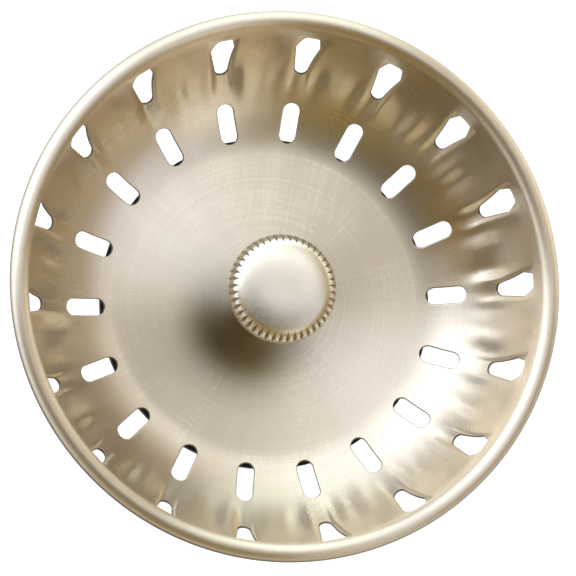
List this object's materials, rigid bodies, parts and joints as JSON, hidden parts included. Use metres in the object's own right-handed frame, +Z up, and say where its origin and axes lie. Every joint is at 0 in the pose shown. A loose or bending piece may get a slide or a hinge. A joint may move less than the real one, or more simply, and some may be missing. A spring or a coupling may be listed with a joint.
{
  "type": "sink basket strainer",
  "caption": "Round kitchen-sink basket strainer: pierced steel cup with a rolled rim, notched knob on a stem, rubber stopper and ball-lock post underneath.",
  "frame": {"origin": "on the strainer's axis, in the plane on which the rubber stopper's lip seals", "axes": "+Z up along the axis, from the stopper to the knob; +X from the axis through the first slot and along the ball bore"},
  "size_m": [0.08, 0.08, 0.0467],
  "materials": {
    "cup_steel": "brushed in circles, warm nickel tone",
    "knob_nickel": "satin, cast and plated",
    "turned_steel": "turned",
    "black_rubber": "matt moulded",
    "plate_steel": "rolled sheet",
    "post_brass": "turned, dulled",
    "ball_steel": "polished",
    "spring_wire": "drawn wire"
  },
  "bodies": {
    "strainer": {"basket": "cup_steel", "knob": "knob_nickel", "stem": "turned_steel", "floor_washer": "turned_steel", "stopper": "black_rubber", "stopper_backing_plate": "plate_steel", "lock_washer": "plate_steel", "lock_post": "post_brass", "detent_spring": "spring_wire"},
    "left_ball": {"detent_ball_left": "ball_steel"},
    "right_ball": {"detent_ball_right": "ball_steel"}
  },
  "joints": [
    {"name": "left_ball_press", "type": "slide", "parent": "strainer", "child": "left_ball", "axis": [1, 0, 0], "range_m": [0, 0.00055], "stiffness_N_per_m": 1200, "springref_m": -0.0008, "deforming": ["detent_spring"]},
    {"name": "right_ball_press", "type": "slide", "parent": "strainer", "child": "right_ball", "axis": [-1, 0, 0], "range_m": [0, 0.00055], "stiffness_N_per_m": 1200, "springref_m": -0.0008, "deforming": ["detent_spring"]}
  ],
  "couplings": [
    {"joint": "right_ball_press", "follows": "left_ball_press", "ratio": 1}
  ]
}
